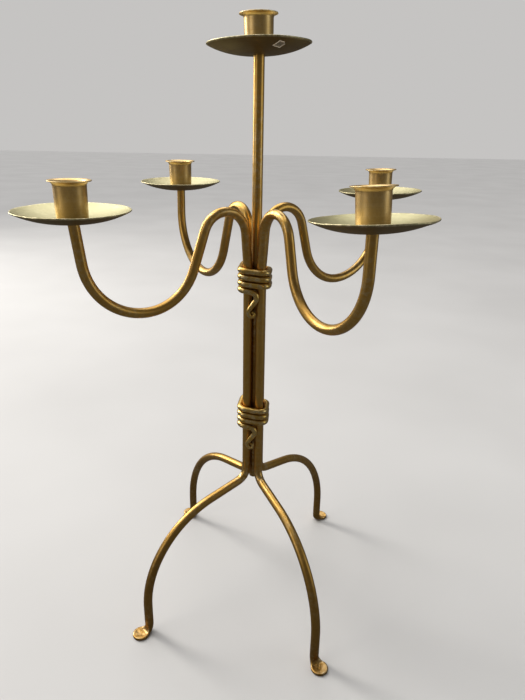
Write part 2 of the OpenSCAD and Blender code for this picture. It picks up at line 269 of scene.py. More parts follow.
class Tree:
    """A material's nodes, made with one short call each."""

    def __init__(self, name):
        self.material = bpy.data.materials.new(name)
        self.material.use_nodes = True
        self.nodes = self.material.node_tree.nodes
        self.links = self.material.node_tree.links
        self.shader = self.nodes["Principled BSDF"]

    def add(self, kind, inputs=None, **settings):
        node = self.nodes.new(kind)
        for key, value in settings.items():
            setattr(node, key, value)
        for key, value in (inputs or {}).items():
            self.feed(node.inputs[key], value)
        return node

    def feed(self, socket, value):
        if isinstance(value, bpy.types.NodeSocket):
            self.links.new(value, socket)
        else:
            socket.default_value = value

    def attribute(self, name):
        """(vector, factor) sockets of a mesh attribute."""
        node = self.add("ShaderNodeAttribute", attribute_name=name)
        return node.outputs["Vector"], node.outputs["Fac"]

    def noise(self, vector, scale, detail=2.0, rough=0.5, stretch=(1, 1, 1)):
        """Noise of a scale in features per metre, stretched along the axes of vector."""
        placed = self.add(
            "ShaderNodeMapping", {"Vector": vector, "Scale": [scale * s for s in stretch]}
        )
        node = self.add(
            "ShaderNodeTexNoise",
            {"Vector": placed.outputs[0], "Scale": 1.0, "Detail": detail, "Roughness": rough},
        )
        return node.outputs["Fac"]

    def ramp(self, value, low, high, to_low=0.0, to_high=1.0):
        node = self.add(
            "ShaderNodeMapRange",
            {
                "Value": value,
                "From Min": low,
                "From Max": high,
                "To Min": to_low,
                "To Max": to_high,
            },
        )
        return node.outputs[0]

    def math(self, operation, a, b=0.0, clamp=False):
        node = self.add("ShaderNodeMath", operation=operation, use_clamp=clamp)
        self.feed(node.inputs[0], a)
        self.feed(node.inputs[1], b)
        return node.outputs[0]

    def mix(self, factor, a, b):
        """Colour a where factor is 0, and b where it is 1."""
        node = self.add("ShaderNodeMix", data_type="RGBA")
        self.feed(node.inputs[0], factor)
        for socket, value in ((node.inputs[6], a), (node.inputs[7], b)):
            self.feed(socket, value if isinstance(value, bpy.types.NodeSocket) else (*value, 1.0))
        return node.outputs[2]

    def finish(self, colour, roughness, bumps):
        """Joins the sockets to the shader. bumps is a list of (height, distance in metres)."""
        self.feed(self.shader.inputs["Base Color"], colour)
        self.feed(self.shader.inputs["Roughness"], roughness)
        normal = None
        for height, distance in bumps:
            node = self.add("ShaderNodeBump", {"Height": height, "Distance": distance})
            if normal is not None:
                self.links.new(normal, node.inputs["Normal"])
            normal = node.outputs[0]
        if normal is not None:
            self.links.new(normal, self.shader.inputs["Normal"])
        return self.material


def brass(name, clean, dull_and_shade, worn, rough, grain):
    """Satin brass: drawn or turned grain, faint clouds of dull colour and brighter wear.

    It reads the point attributes grain (vector), wear and tarnish_and_shade; the third darkens it
    for real tarnish and for painted shade in crevices and on undersides. The last argument,
    grain, is how fine its lines are along each axis of that vector.
    """
    t = Tree(name)
    t.shader.inputs["Metallic"].default_value = 0.97
    t.shader.inputs["Coat Weight"].default_value = 0.2
    t.shader.inputs["Coat Roughness"].default_value = 0.3
    place = t.add("ShaderNodeTexCoord").outputs["Object"]
    along = t.attribute("grain")[0]
    wear = t.attribute("wear")[1]
    tarnish_and_shade = t.attribute("tarnish_and_shade")[1]
    cloud = t.noise(place, 22, 3, 0.55)
    fine = t.noise(place, 1600, 2, 0.6)
    lines = t.noise(along, 1, 3, 0.6, stretch=grain)
    scuffs = t.noise(place, 240, 4, 0.7)

    clouded = t.ramp(cloud, 0.42, 0.75, 0.0, 0.35)
    dullness_and_shade = t.math("ADD", clouded, t.ramp(lines, 0.35, 0.75, -0.05, 0.10))
    # The tarnish_and_shade attribute darkens the colour for real tarnish and for painted shade alike.
    dullness_and_shade = t.math("ADD", dullness_and_shade, tarnish_and_shade, clamp=True)
    shine = t.math("MULTIPLY", wear, t.ramp(scuffs, 0.44, 0.62), clamp=True)
    colour = t.mix(dullness_and_shade, clean, dull_and_shade)
    colour = t.mix(shine, colour, worn)
    colour = t.mix(t.ramp(fine, 0.6, 0.8, 0.0, 0.22), colour, dull_and_shade)

    roughness = t.ramp(dullness_and_shade, 0, 1, rough, rough + 0.10)
    roughness = t.math("ADD", roughness, t.ramp(lines, 0.3, 0.7, -0.03, 0.04))
    roughness = t.math("SUBTRACT", roughness, t.math("MULTIPLY", shine, 0.06), clamp=True)
    bumps = [(lines, 0.012 * MM), (fine, 0.008 * MM), (scuffs, 0.02 * MM)]
    return t.finish(colour, roughness, bumps)


CLEAN_ROD = (0.70, 0.41, 0.09)
# The rods' dull colour, also used for painted shade in the column's crevices and on the wire's inner
# side.
DULL_ROD_AND_SHADE = (0.35, 0.185, 0.035)
CLEAN_WIRE = (0.76, 0.50, 0.12)
CLEAN_CUP = (0.70, 0.47, 0.18)
DULL_CUP = (0.44, 0.27, 0.095)
PAN_BRASS_WITH_PAINTED_LIGHT = (0.50, 0.46, 0.25)   # painted light: the pale tone of the upper sides stands in for the light they catch from above
PAN_DULL_AND_PAINTED_SHADE = (0.25, 0.16, 0.045)   # dull patches, and painted shade on the brown undersides
CLEAN_SCREW = (0.55, 0.38, 0.16)
DULL_SCREW = (0.28, 0.18, 0.07)
PALE = (0.88, 0.75, 0.46)        # where handling has rubbed the brass bright
PALE_PAN = (0.90, 0.78, 0.50)

rod_brass = brass("rod_brass", CLEAN_ROD, DULL_ROD_AND_SHADE, PALE, 0.33, (900, 900, 14))
wire_brass = brass("wire_brass", CLEAN_WIRE, DULL_ROD_AND_SHADE, PALE, 0.30, (900, 900, 20))
cup_brass = brass("cup_brass", CLEAN_CUP, DULL_CUP, PALE, 0.39, (60, 60, 1600))
pan_brass = brass("pan_brass", PAN_BRASS_WITH_PAINTED_LIGHT, PAN_DULL_AND_PAINTED_SHADE, PALE_PAN, 0.46, (1300, 1300, 40))
screw_brass = brass("screw_brass", CLEAN_SCREW, DULL_SCREW, PALE, 0.38, (700, 60, 60))

# ---- Bent rods ---------------------------------------------------------------------------

RING_SIDES = 56
DENSE = 0.5 * MM             # spacing of the places traced along a line, before thinning
THINNEST = 0.05              # least half width of a foot's section, in millimetres
BEND_FLAT = 0.10             # how much a bend flattens the rod, per radius over bend radius
FOOT_TARNISH = 0.85
LEG_TARNISH_Z = (20 * MM, 200 * MM)   # full tarnish under the first, none over the second


def trace(steps):
    """Places along a bent line in its own plane, as rows of [along, across, heading].

    It starts along the first axis and follows steps of (straight length, turn, bend radius),
    with turns in degrees towards the second axis.
    """
    rows = [(0.0, 0.0, 0.0)]
    x = y = heading = 0.0
    for length, turn, radius in steps:
        pieces = max(1, round(length / DENSE)) if length > 0 else 0
        for k in range(1, pieces + 1):
            part = length * k / pieces
            rows.append((x + part * math.cos(heading), y + part * math.sin(heading), heading))
        x, y = x + length * math.cos(heading), y + length * math.sin(heading)
        if turn:
            side = math.copysign(1, turn)
            mid_x = x - side * radius * math.sin(heading)
            mid_y = y + side * radius * math.cos(heading)
            count = max(4, round(math.radians(abs(turn)) * radius / DENSE))
            for k in range(1, count + 1):
                h = heading + math.radians(turn) * k / count
                rows.append((mid_x + side * radius * math.sin(h), mid_y - side * radius * math.cos(h), h))
            x, y, heading = rows[-1]
    return np.array(rows)


def arm_line(corner, reach, top_z):
    """The arm's line as [up, out, heading], from the knee up to the pan."""
    crest_r, fall_deg, lean_deg = ARM_BENDS[corner]
    flare, fall, lean = (math.radians(a) for a in (FLARE, fall_deg, lean_deg))
    rising = CREST_Z - FLARE_Z - FLARE_R * math.sin(flare) - crest_r * (1 - math.sin(flare))
    rising /= math.cos(flare)
    falling = (CREST_Z - DIP_Z - (crest_r + DIP_R) * (1 - math.cos(fall))) / math.sin(fall)
    dip_mid = FLARE_R * (1 - math.cos(flare)) + rising * math.sin(flare)
    dip_mid += crest_r * (math.cos(flare) + math.sin(fall))
    dip_mid += falling * math.cos(fall) + DIP_R * math.sin(fall)
    across = reach - dip_mid
    rise = top_z - DIP_Z
    outer_r = (across * math.cos(lean) - rise * math.sin(lean)) / (1 - math.sin(lean))
    end = (rise - outer_r * (1 - math.sin(lean))) / math.cos(lean)
    return trace(
        [
            (FLARE_Z - KNEE_Z, FLARE, FLARE_R),
            (rising, 90 - FLARE + fall_deg, crest_r),
            (falling, -fall_deg, DIP_R),
            (0, lean_deg - 90, outer_r),
            (end, 0, 0),
        ]
    )


def leg_line(reach):
    """The leg's line as [down, out, heading], from the knee down to the heel."""
    turn = 90 - SHOULDER
    slope = math.radians(SHOULDER)
    knee_out = KNEE_R * (1 - math.sin(slope))
    shoulder = (reach - knee_out - LEG_R * (1 - math.sin(slope))) / math.cos(slope)
    drop = KNEE_R * math.cos(slope) + shoulder * math.sin(slope) + LEG_R * math.cos(slope)
    return trace(
        [
            (0, turn, KNEE_R),
            (shoulder, -turn, LEG_R),
            (KNEE_Z - drop - HEEL_H, 0, 0),
        ]
    )


def foot_rows():
    """The foot's line from the heel to the pad's end.

    Its rows are [down, out, heading, half thickness, half width, squareness], with down and out
    counted from the leg's line at the floor.
    """
    stations = [
        # out, height, heading, half thickness, half width, squareness; lengths in millimetres
        (0.0, 12.0, 0, 4.5, 4.5, 2.0),
        (0.05, 8.2, 8, 4.25, 4.55, 2.0),
        (0.7, 5.3, 28, 3.6, 4.8, 2.2),
        (2.2, 3.1, 58, 2.65, 5.4, 2.6),
        (4.2, 2.0, 80, 1.95, 6.3, 3.2),
        (6.0, 1.62, 89, 1.62, 7.35, 4.0),
    ]
    rows = np.array(stations)
    keys = np.concatenate([[0], np.cumsum(np.hypot(np.diff(rows[:, 0]), np.diff(rows[:, 1])))])
    fine = np.linspace(0, keys[-1], 26)
    rows = np.stack([spline(keys, rows[:, c], fine) for c in range(6)], axis=1)
    out_mm, r_mm = FOOT_OUT / MM, FOOT_R / MM
    half_t = FOOT_T / MM / 2
    start = math.acos((rows[-1, 0] - out_mm) / r_mm)
    for a in np.linspace(start, 0, 30)[1:]:
        rim = max(0.0, math.cos(a))
        thick = max(half_t * (1 - rim ** 9) ** (1 / 3), THINNEST)
        wide = max(r_mm * math.sin(a), THINNEST)
        rows = np.vstack([rows, (out_mm + r_mm * math.cos(a), half_t, 90, thick, wide, 4.0)])
    out, height, heading, thick, wide, square = rows.T
    return np.column_stack(
        [-height * MM, out * MM, np.radians(heading), thick * MM, wide * MM, square]
    )


def spline(keys, values, at):
    """Catmull-Rom curve through values at keys, read at the given places."""
    slopes = np.gradient(values, keys)
    k = np.clip(np.searchsorted(keys, at, side="right") - 1, 0, len(keys) - 2)
    span = keys[k + 1] - keys[k]
    t = (at - keys[k]) / span
    return (
        (1 + 2 * t) * (1 - t) ** 2 * values[k]
        + t * (1 - t) ** 2 * span * slopes[k]
        + t * t * (3 - 2 * t) * values[k + 1]
        + t * t * (t - 1) * span * slopes[k + 1]
    )


def even_section(half_w, half_t, square):
    """Points of a superellipse, evenly spaced in each quarter, from the side towards the top."""
    a = np.linspace(0, math.pi / 2, 120)
    x = np.cos(a) ** (2 / square) * half_w
    y = np.sin(a) ** (2 / square) * half_t
    run = np.concatenate([[0], np.cumsum(np.hypot(np.diff(x), np.diff(y)))])
    at = np.linspace(0, run[-1], RING_SIDES // 4 + 1)
    qx, qy = np.interp(at, run, x), np.interp(at, run, y)
    x = np.concatenate([qx[:-1], -qx[:0:-1], -qx[:-1], qx[:0:-1]])
    y = np.concatenate([qy[:-1], qy[:0:-1], -qy[:-1], -qy[:0:-1]])
    return x, y


def smoothed(places, reach):
    """Moving average over reach places to each side, with the ends kept."""
    out = places.copy()
    for k in range(1, len(places) - 1):
        w = min(reach, k, len(places) - 1 - k)
        out[k] = places[k - w:k + w + 1].mean(0)
    return out


def thinned(places, most_turn=math.radians(2.6), most_run=4 * MM):
    """Indices of the places to keep: closer in the bends than in the straight stretches."""
    keep, run, turn = [0], 0.0, 0.0
    steps = np.diff(places, axis=0)
    for k in range(1, len(places) - 1):
        run += np.linalg.norm(steps[k - 1])
        a, b = steps[k - 1], steps[k]
        turn += math.acos(np.clip(a @ b / np.linalg.norm(a) / np.linalg.norm(b), -1, 1))
        if run >= most_run or turn >= most_turn:
            keep.append(k)
            run = turn = 0.0
    return keep + [len(places) - 1]


def run_along(line):
    """Distance along a line of places, at each of them."""
    return np.concatenate([[0], np.cumsum(np.linalg.norm(np.diff(line, axis=0), axis=1))])


def surface(grains, wears, tarnish_and_shade_rows):
    """The point attributes that brass() reads, from one row of values for each ring."""
    return {"grain": np.array(grains), "wear": np.array(wears), "tarnish_and_shade": np.array(tarnish_and_shade_rows)}


def end_at_seat(ring, top, normal, x_dir, y_dir):
    """A rod's last rings: cut flat on its pan's seat, then the mouth and end of the screw's hole."""
    cut = ring - np.outer((ring - top) @ normal / normal[2], UP)
    hole_r = SCREW_R + SCREW_GAP / 2
    x, y = even_section(hole_r, hole_r, 2)
    mouth = top + np.outer(x, x_dir) + np.outer(y, y_dir)
    return [cut, mouth, mouth - SCREW_LEN * normal]


def hammer_marks(seed):
    """Places of the hammer's marks on a foot pad, as (out, across, radius, depth)."""
    rng = random.Random(seed)
    marks = []
    for k in range(9):
        r = FOOT_R * 0.78 * math.sqrt(rng.random())
        a = rng.uniform(0, 2 * math.pi)
        size = rng.uniform(1.8, 3.0) * MM
        marks.append((FOOT_OUT + r * math.cos(a), r * math.sin(a), size, rng.uniform(0.2, 0.42) * MM))
    return marks


def beaten_top(out, across, seed):
    """How far the top of a foot pad lies under its flat form: a dish with hammer marks."""
    from_mid = np.hypot(out - FOOT_OUT, across)
    drop = 0.75 * MM * np.clip(1 - (from_mid / (0.86 * FOOT_R)) ** 2, 0, 1)
    for m_out, m_across, size, depth in hammer_marks(seed):
        gap = np.hypot(out - m_out, across - m_across)
        drop = drop + depth * np.clip(1 - (gap / size) ** 2, 0, 1)
    return drop * smoothstep(2 * MM, 5 * MM, out)


def rod_places(corner, foot, leg_az, leg_reach):
    """The rod's middle line from the pad's end to its seat: (places, side vectors, directions)."""
    arm_az, arm_reach = plan_of(corner, seat(corner))
    arm = arm_line(corner, arm_reach, seat(corner)[2])
    leg = leg_line(leg_reach)

    def in_plane(azimuth, up, out):
        return axes[corner] + np.outer(out, direction(azimuth)) + np.outer(up, UP)

    foot_line = in_plane(leg_az, -foot[:, 0], leg_reach + foot[:, 1])[:0:-1]
    leg_places = in_plane(leg_az, KNEE_Z - leg[:, 0], leg[:, 1])[::-1]
    arm_places = in_plane(arm_az, KNEE_Z + arm[:, 0], arm[:, 1])[1:]
    rod_line = smoothed(np.vstack([leg_places, arm_places]), 7)
    line = np.vstack([foot_line, rod_line[thinned(rod_line)]])

    # The level side vector turns from the leg's plane to the arm's along the column.
    blend = smoothstep(KNEE_Z, FLARE_Z, line[:, 2])
    past_flare = np.arange(len(line)) > np.argmax(np.maximum.accumulate(blend) > 0.999)
    side_az = leg_az + (arm_az - leg_az) * np.where(past_flare, 1, blend)
    sides = np.array([direction(a + math.pi / 2) for a in side_az])
    ahead = np.gradient(line, axis=0)
    ahead[:len(foot_line)] = np.array(
        [-math.sin(h) * direction(leg_az) + math.cos(h) * UP for h in foot[:0:-1, 2]]
    )
    ahead[len(foot_line)] = UP
    ahead /= np.linalg.norm(ahead, axis=1)[:, None]
    sides -= (sides * ahead).sum(1)[:, None] * ahead
    sides /= np.linalg.norm(sides, axis=1)[:, None]
    return line, sides, ahead


def bent_rod(corner, seed):
    """One rod, from its foot through the leg, the column and the arm up to its pan."""
    leg_az, foot_reach = plan_of(corner, mounts["foot_" + corner]["pos_m"])
    leg_reach = foot_reach - FOOT_OUT
    top = seat(corner)
    foot = foot_rows()
    line, sides, ahead = rod_places(corner, foot, leg_az, leg_reach)
    tops = np.cross(sides, ahead)
    foot_sections = foot[:0:-1]
    is_foot = np.arange(len(line)) < len(foot_sections)

    # How tightly the rod bends at each place, as its radius over the bend's radius.
    run = run_along(line)
    bend = np.linalg.norm(np.gradient(ahead, run, axis=0), axis=1) * ROD_R
    bend[is_foot] = 0
    bend = np.convolve(np.pad(bend, 2, mode="edge"), np.ones(5) / 5, mode="valid")

    rings, grains, wears, tarnish_and_shade_rows = [], [], [], []
    rng = random.Random(seed)
    phase = [rng.uniform(0, 2 * math.pi) for _ in range(2)]
    for k, place in enumerate(line):
        if is_foot[k]:
            half_t, half_w, square = foot_sections[k, 3:]
            x, y = even_section(half_w, half_t, square)
        else:
            x, y = even_section(ROD_R, ROD_R, 2)
            flat = BEND_FLAT * bend[k]
            x, y = x * (1 + flat * 0.3), y * (1 - flat)
        ring = place + np.outer(x, sides[k]) + np.outer(y, tops[k])
        if is_foot[k]:
            out = (ring - axes[corner]) @ direction(leg_az) - leg_reach
            across = (ring - axes[corner]) @ direction(leg_az + math.pi / 2)
            upper = smoothstep(0.2, 0.9, y / half_t)
            ring[:, 2] -= upper * beaten_top(out, across, seed)
            ring[:, 2] = np.maximum(ring[:, 2], 0.0)
            rim = smoothstep(0.70, 0.95, np.hypot(out - FOOT_OUT, across) / FOOT_R)
            wears.append(0.35 * rim * upper + 0.2 * upper)
            tarnish_and_shade_rows.append(np.full(len(x), FOOT_TARNISH))
        else:
            scuffed = math.sin(run[k] * 37 + phase[0]) * math.sin(run[k] * 61 + phase[1])
            wear = (0.25 + 1.6 * bend[k]) * (0.5 + 0.5 * scuffed)
            wears.append(np.full(len(x), wear))
            low = 1 - smoothstep(*LEG_TARNISH_Z, line[k, 2])
            # Painted shade: the rods darken on their faces towards the centre rod, from just above the
            # knee to just above the flare.
            painted_crevice_shade = smoothstep(0.3, 1.0, -y / ROD_R)
            painted_crevice_shade = painted_crevice_shade * smoothstep(KNEE_Z, KNEE_Z + 30 * MM, line[k, 2])
            painted_crevice_shade = painted_crevice_shade * (1 - smoothstep(FLARE_Z, FLARE_Z + 40 * MM, line[k, 2]))
            tarnish_and_shade_rows.append(0.75 * low + 0.6 * painted_crevice_shade)
        rings.append(ring)
        grains.append(np.column_stack([x, y, np.full(len(x), run[k])]))

    normal = light_axis(corner)
    x_dir = sides[-1] - (sides[-1] @ normal) * normal
    rings[-1:] = end_at_seat(rings[-1], top, normal, x_dir, np.cross(x_dir, normal))
    for values in (grains, wears, tarnish_and_shade_rows):
        values += [values[-1], values[-1]]
    obj = loft("bent_rod_" + corner, rings, attributes=surface(grains, wears, tarnish_and_shade_rows))
    return finish_piece(obj, "rod_" + corner, rod_brass)


def centre_rod():
    """The straight rod in the middle of the column, under the top pan."""
    low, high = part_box("centre_rod")
    top = seat("top")
    normal = light_axis("top")
    heights = [low.z, low.z + 0.12 * MM, low.z + 0.4 * MM, low.z + 0.8 * MM]
    radii = [CENTRE_R - 0.8 * MM, CENTRE_R - 0.45 * MM, CENTRE_R - 0.12 * MM, CENTRE_R]
    uprights = np.linspace(low.z + 4 * MM, top[2] - 2 * MM, 80)
    rings, grains, tarnish_and_shade_rows, wears = [], [], [], []
    for z, r in [*zip(heights, radii), *((z, CENTRE_R) for z in uprights)]:
        x, y = even_section(r, r, 2)
        rings.append(np.column_stack([x, y, np.full(len(x), z)]))
        grains.append(np.column_stack([x, y, np.full(len(x), z)]))
        # Painted shade: the centre rod darkens below the flare, where the bent rods close round it.
        painted_column_shade = 1 - smoothstep(FLARE_Z + 20 * MM, FLARE_Z + 50 * MM, z)
        tarnish_and_shade_rows.append(np.full(len(x), 0.6 * float(painted_column_shade)))
        wears.append(np.full(len(x), 0.25 + 0.2 * math.sin(z * 43)))
    end = rings[-1] + [0, 0, top[2] - uprights[-1]]
    x_dir = np.array([1.0, 0, 0]) - normal[0] * normal
    rings += end_at_seat(end, top, normal, x_dir, np.cross(normal, x_dir))
    for values in (grains, tarnish_and_shade_rows, wears):
        values += [values[-1]] * 3
    obj = loft("straight_rod", rings, attributes=surface(grains, wears, tarnish_and_shade_rows))
    return finish_piece(obj, "centre_rod", rod_brass)


# ---- Drip pans ---------------------------------------------------------------------------

DISH_R = ((PAN_R - PAN_SEAT_R) ** 2 + PAN_DEPTH ** 2) / (2 * PAN_DEPTH)
PAN_RIM_ROUND = 0.42 * MM
PAN_HOLE_ROUND = 0.15 * MM
RIM_DENTS = {"front_right": (math.radians(-40), 0.8 * MM)}   # azimuth and depth


def dish(r, r_arc):
    """Height of a dish surface over its flat seat at radius r, for a section radius r_arc."""
    return r_arc - np.sqrt(r_arc ** 2 - np.maximum(r - PAN_SEAT_R, 0) ** 2)


def pan_profile():
    """Section of the pan over its seat, as a closed line of (radius, height)."""
    hole_r = SCREW_R + SCREW_GAP
    out = np.linspace(PAN_SEAT_R, PAN_R, 22)
    under = [(r, dish(r, DISH_R + PAN_T), 0) for r in out[:-1]]
    over = [(r, PAN_T + dish(r, DISH_R), 0) for r in out[-2::-1]]
    rim_low = (PAN_R, dish(PAN_R, DISH_R + PAN_T), PAN_RIM_ROUND)
    rim_high = (PAN_R, PAN_T + PAN_DEPTH, PAN_RIM_ROUND)
    hole_low, hole_high = (hole_r, 0, PAN_HOLE_ROUND), (hole_r, PAN_T, PAN_HOLE_ROUND)
    corners = [hole_low, *under, rim_low, rim_high, *over, hole_high]
    return fillet(corners, closed=True, steps=4)


def pan(light, seed):
    """A pressed and turned drip pan, with the slight unevenness of hand work at its rim."""
    rng = random.Random(seed)
    dent_az, dent_deep = RIM_DENTS.get(light, (0, 0))
    waves = [(n, rng.uniform(0.02, 0.09) * MM, rng.uniform(0, 2 * math.pi)) for n in (2, 3, 5, 8)]

    def uneven(rings):
        r = np.hypot(rings[..., 0], rings[..., 1])
        a = np.arctan2(rings[..., 1], rings[..., 0])
        share = smoothstep(0.5 * PAN_R, PAN_R, r)
        moved = rings.copy()
        for n, size, phase in waves:
            moved[..., 2] -= share * size * (1 + np.cos(n * a + phase))
        bent = smoothstep(0.8 * PAN_R, PAN_R, r) * np.exp(20 * (np.cos(a - dent_az) - 1))
        moved[..., 2] -= dent_deep * bent
        return moved

    def marks(rings):
        r = np.hypot(rings[..., 0], rings[..., 1])
        a = np.arctan2(rings[..., 1], rings[..., 0])
        over = rings[..., 2] > PAN_T / 2 + dish(r, DISH_R + PAN_T / 2)
        rim = smoothstep(PAN_R - 1.3 * MM, PAN_R - 0.2 * MM, r)
        near_cup = 1 - smoothstep(13 * MM, 17 * MM, r)
        return {
            "grain": np.stack([r, 0 * r, a * 0.02], axis=2),
            "wear": 0.9 * rim + 0.1 * over,
            # Painted shade on the underside, darker in from the rim; the top darkens round the cup's
            # foot.
            "tarnish_and_shade": np.where(over, 0.30 * near_cup, 0.78 * (1 - rim)),
        }

    obj = lathe("drip_pan_" + light, pan_profile(), 160, light_matrix(light), uneven, marks)
    return finish_piece(obj, "pan_" + light, pan_brass)


# ---- Candle cups -------------------------------------------------------------------------


def cup_profile():
    """Section of the cup over the pan's top, as a closed line of (radius, height)."""
    hole_r = SCREW_R + SCREW_GAP
    head_r = SCREW_HEAD_R + SCREW_GAP
    head_z = CUP_FLOOR - SCREW_SINK
    cone_z = head_z - (SCREW_HEAD_R - SCREW_R)
    lip_low = CUP_H - LIP_T
    corners = [
        (hole_r, 0, 0),
        (CUP_FOOT_R, 0, CUP_FOOT_ROUND),
        (CUP_NECK_R, lip_low, LIP_R - CUP_NECK_R - 0.55 * MM),
        (LIP_R, lip_low, 0.4 * MM),
        (LIP_R, CUP_H, 0.4 * MM),
        (CUP_BORE_R, CUP_H, LIP_R - CUP_BORE_R - 0.6 * MM),
        (CUP_BORE_R, CUP_FLOOR, 0.5 * MM),
        (head_r, CUP_FLOOR, 0.1 * MM),
        (head_r, head_z, 0),
        (hole_r, cone_z, 0),
    ]
    line = fillet(corners, closed=True, steps=9)
    dense = [line[0]]
    for a, b in zip(line, np.roll(line, -1, axis=0)):
        pieces = max(1, math.ceil(np.linalg.norm(b - a) / (2 * MM)))
        dense += [a + (b - a) * k / pieces for k in range(1, pieces + 1)]
    return np.array(dense[:-1])


def cup(light, seed):
    """A spun candle cup with a flared lip and an open countersink in its floor."""
    rng = random.Random(seed)
    scuff_az = rng.uniform(0, 2 * math.pi)

    def marks(rings):
        r = np.hypot(rings[..., 0], rings[..., 1])
        a = np.arctan2(rings[..., 1], rings[..., 0])
        z = rings[..., 2]
        rim = smoothstep(LIP_R - 1.2 * MM, LIP_R - 0.1 * MM, r)
        inside = (r < CUP_BORE_R + 0.1 * MM) & (z > CUP_FLOOR / 2)
        foot = 1 - smoothstep(0, 3 * MM, z)
        scuff = np.clip(np.cos(a - scuff_az), 0, 1) ** 6 * (1 - smoothstep(4 * MM, 16 * MM, z))
        return {
            "grain": np.stack([0.3 * np.cos(a) * r, 0.3 * np.sin(a) * r, z], axis=2),
            "wear": 0.9 * rim + 0.6 * scuff + 0.15,
            "tarnish_and_shade": np.where(inside, 0.55, 0.3 * foot),
        }

    matrix = light_matrix(light) @ Matrix.Translation((0, 0, PAN_T))
    obj = lathe("candle_cup_" + light, cup_profile(), 112, matrix, None, marks)
    return finish_piece(obj, "cup_" + light, cup_brass)


# ---- Screws ------------------------------------------------------------------------------

THREAD_PITCH = 0.7 * MM
THREAD_DEEP = 0.32 * MM
SCREW_SIDES = 48
SLOT_W = 1.2 * MM
SLOT_DEEP = 1 * MM


def screw(light, seed):
    """A slotted countersunk screw with its thread cut under the head."""
    head_z = CUP_FLOOR - SCREW_SINK
    cone_z = head_z - (SCREW_HEAD_R - SCREW_R)
    low_z = head_z - SCREW_LEN + 0.15 * MM
    turns = np.linspace(0, 2 * math.pi, SCREW_SIDES, endpoint=False)
    thread_top = cone_z - 1.2 * MM
    heights = np.arange(low_z + 0.4 * MM, thread_top, THREAD_PITCH / 7)

    def ring(r, z):
        return np.column_stack([r * np.cos(turns), r * np.sin(turns), np.full(SCREW_SIDES, z)])

    rings = [ring(SCREW_R - 0.9 * MM, low_z), ring(SCREW_R - 0.45 * MM, low_z + 0.1 * MM)]
    for z in heights:
        tooth = abs(2 * ((z / THREAD_PITCH + turns / (2 * math.pi)) % 1) - 1)
        fade = smoothstep(low_z + 0.3 * MM, low_z + 1.2 * MM, z)
        rings.append(ring(SCREW_R - THREAD_DEEP * (tooth * fade + 1 - fade) - 0.02 * MM, z))
    shank_and_head = [
        (SCREW_R - 0.05 * MM, thread_top + 0.2 * MM),
        (SCREW_R - 0.05 * MM, cone_z),
        (SCREW_HEAD_R - 0.12 * MM, head_z - 0.12 * MM),
        (SCREW_HEAD_R - 0.1 * MM, head_z - 0.04 * MM),
        (SCREW_HEAD_R - 0.2 * MM, head_z),
        (SCREW_HEAD_R * 0.5, head_z),
    ]
    rings += [ring(r, z) for r, z in shank_and_head]
    obj = loft("countersunk_screw_" + light, rings)

    cutter = bpy.data.meshes.new("slot_cutter")
    bm = bmesh.new()
    bmesh.ops.create_cube(bm, size=1.0)
    slot = Matrix.Diagonal((4 * SCREW_HEAD_R, SLOT_W, 2 * SLOT_DEEP, 1))
    bmesh.ops.transform(bm, matrix=Matrix.Translation((0, 0, head_z)) @ slot, verts=bm.verts)
    bm.to_mesh(cutter)
    bm.free()
    tool = bpy.data.objects.new("slot_cutter", cutter)
    bpy.context.scene.collection.objects.link(tool)
    cut = obj.modifiers.new("slot", "BOOLEAN")
    cut.operation = "DIFFERENCE"
    cut.object = tool
    bpy.context.view_layer.update()
    made = bpy.data.meshes.new_from_object(obj.evaluated_get(bpy.context.evaluated_depsgraph_get()))
    obj.modifiers.clear()
    obj.data = made
    bpy.data.objects.remove(tool)

    spin = Matrix.Rotation(random.Random(seed).uniform(0, math.pi), 4, "Z")
    made.transform(light_matrix(light) @ Matrix.Translation((0, 0, PAN_T)) @ spin)
    co = np.array([v.co for v in made.vertices])
    for key, value in (("wear", 0.5), ("tarnish_and_shade", 0.45)):
        layer = made.attributes.new(key, "FLOAT", "POINT")
        layer.data.foreach_set("value", np.full(len(co), value, np.float32))
    layer = made.attributes.new("grain", "FLOAT_VECTOR", "POINT")
    layer.data.foreach_set("vector", co.astype(np.float32).ravel())
    made.set_sharp_from_angle(angle=math.radians(40))
    return finish_piece(obj, "screw_" + light, screw_brass)


# ---- Wire bindings -----------------------------------------------------------------------

WIRE_SIDES = 24
FIRST_CORNER = 3             # the coil's first corner is the rear left rod
CORNER_COUNT = 14
CORNER_PLACES = 12
CUT_END = math.radians(-110)     # swept from the column's left side to the wire's cut end
TAIL_HEAD = -10              # degrees above level at which the tail leaves the coil
TAIL_STEPS = [(6 * MM, -115, 5.5 * MM), (11 * MM, 70, 5 * MM), (1 * MM, 235, 2.4 * MM)]


def span_normal(k):
    """Azimuth of the outward normal of the wire's span from rod k to the next one."""
    d = axes[CORNERS[(k + 1) % 4]] - axes[CORNERS[k % 4]]
    return math.atan2(d[1], d[0]) - math.pi / 2


def wrapped(angle, start):
    """angle brought into the full turn that starts at start."""
    return start + (angle - start) % (2 * math.pi)


def coil_places(z):
    """Places along a coil whose first pass of the column's left side is at height z."""
    off = ROD_R + WIRE_R + WIRE_GAP
    before = span_normal(FIRST_CORNER - 1)
    plan = [(axes[CORNERS[FIRST_CORNER - 1]] + off * direction(before), CUT_END)]
    for m in range(CORNER_COUNT):
        k = (FIRST_CORNER + m) % 4
        a_in = span_normal(k + 3)
        a_out = wrapped(span_normal(k), a_in)
        for a in np.linspace(a_in, a_out, CORNER_PLACES):
            p = axes[CORNERS[k]] + off * direction(a)
            swept = wrapped(math.atan2(p[1], p[0]), math.radians(60 + 90 * m)) - math.pi
            plan.append((p, swept))
    places = []
    for p, swept in plan:
        drop = -WIRE_PITCH * swept / (2 * math.pi) + WIRE_RISE * max(0, swept / CUT_END) ** 2
        places.append(p + (z + drop) * UP)
    return np.array(places)


